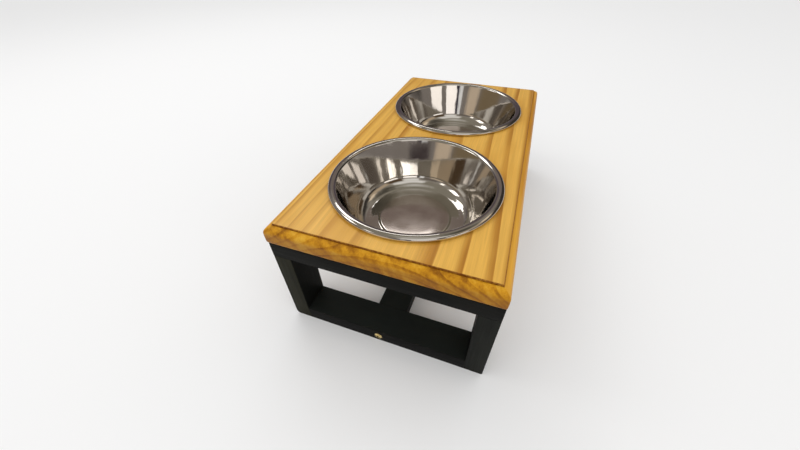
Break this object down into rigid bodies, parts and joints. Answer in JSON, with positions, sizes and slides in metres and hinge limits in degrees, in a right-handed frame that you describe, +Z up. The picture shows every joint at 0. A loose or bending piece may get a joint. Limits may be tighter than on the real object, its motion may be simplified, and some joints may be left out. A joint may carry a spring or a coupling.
{
  "type": "elevated dog feeder",
  "caption": "Low stand with a pine board on open black end frames, holding lift-out stainless steel bowls at a pet's feeding height.",
  "frame": {"origin": "on the floor, under the middle of the board", "axes": "+X across the board, to the right as seen from the near end; +Y along the board, away from the near end; +Z up"},
  "size_m": [0.2528, 0.48, 0.1656],
  "materials": {
    "pine_board": "clear satin varnish over knot-free pine",
    "bowl_steel": "mirror-polished stainless with a satin floor disc",
    "black_bar": "satin black stain on planed softwood, lightly rubbed at the edges",
    "brass_screw": "plain polished brass, slightly dulled",
    "zinc_screw": "bright zinc plating"
  },
  "bodies": {
    "stand": {"top_board": "pine_board", "near_top_rail": "black_bar", "near_bottom_rail": "black_bar", "near_left_post": "black_bar", "near_right_post": "black_bar", "far_top_rail": "black_bar", "far_bottom_rail": "black_bar", "far_left_post": "black_bar", "far_right_post": "black_bar", "centre_stretcher": "black_bar", "near_stretcher_screw": "brass_screw", "far_stretcher_screw": "brass_screw", "near_rail_end_screws": "brass_screw", "far_rail_end_screws": "brass_screw", "near_post_cap_screws": "zinc_screw", "far_post_cap_screws": "zinc_screw", "near_board_screws": "zinc_screw", "far_board_screws": "zinc_screw"},
    "near_bowl": {"near_bowl": "bowl_steel"},
    "far_bowl": {"far_bowl": "bowl_steel"}
  },
  "joints": [
    {"name": "near_bowl_lift", "type": "slide", "parent": "stand", "child": "near_bowl", "axis": [0, 0, 1], "range_m": [0, 0.09]},
    {"name": "far_bowl_lift", "type": "slide", "parent": "stand", "child": "far_bowl", "axis": [0, 0, 1], "range_m": [0, 0.09]}
  ]
}
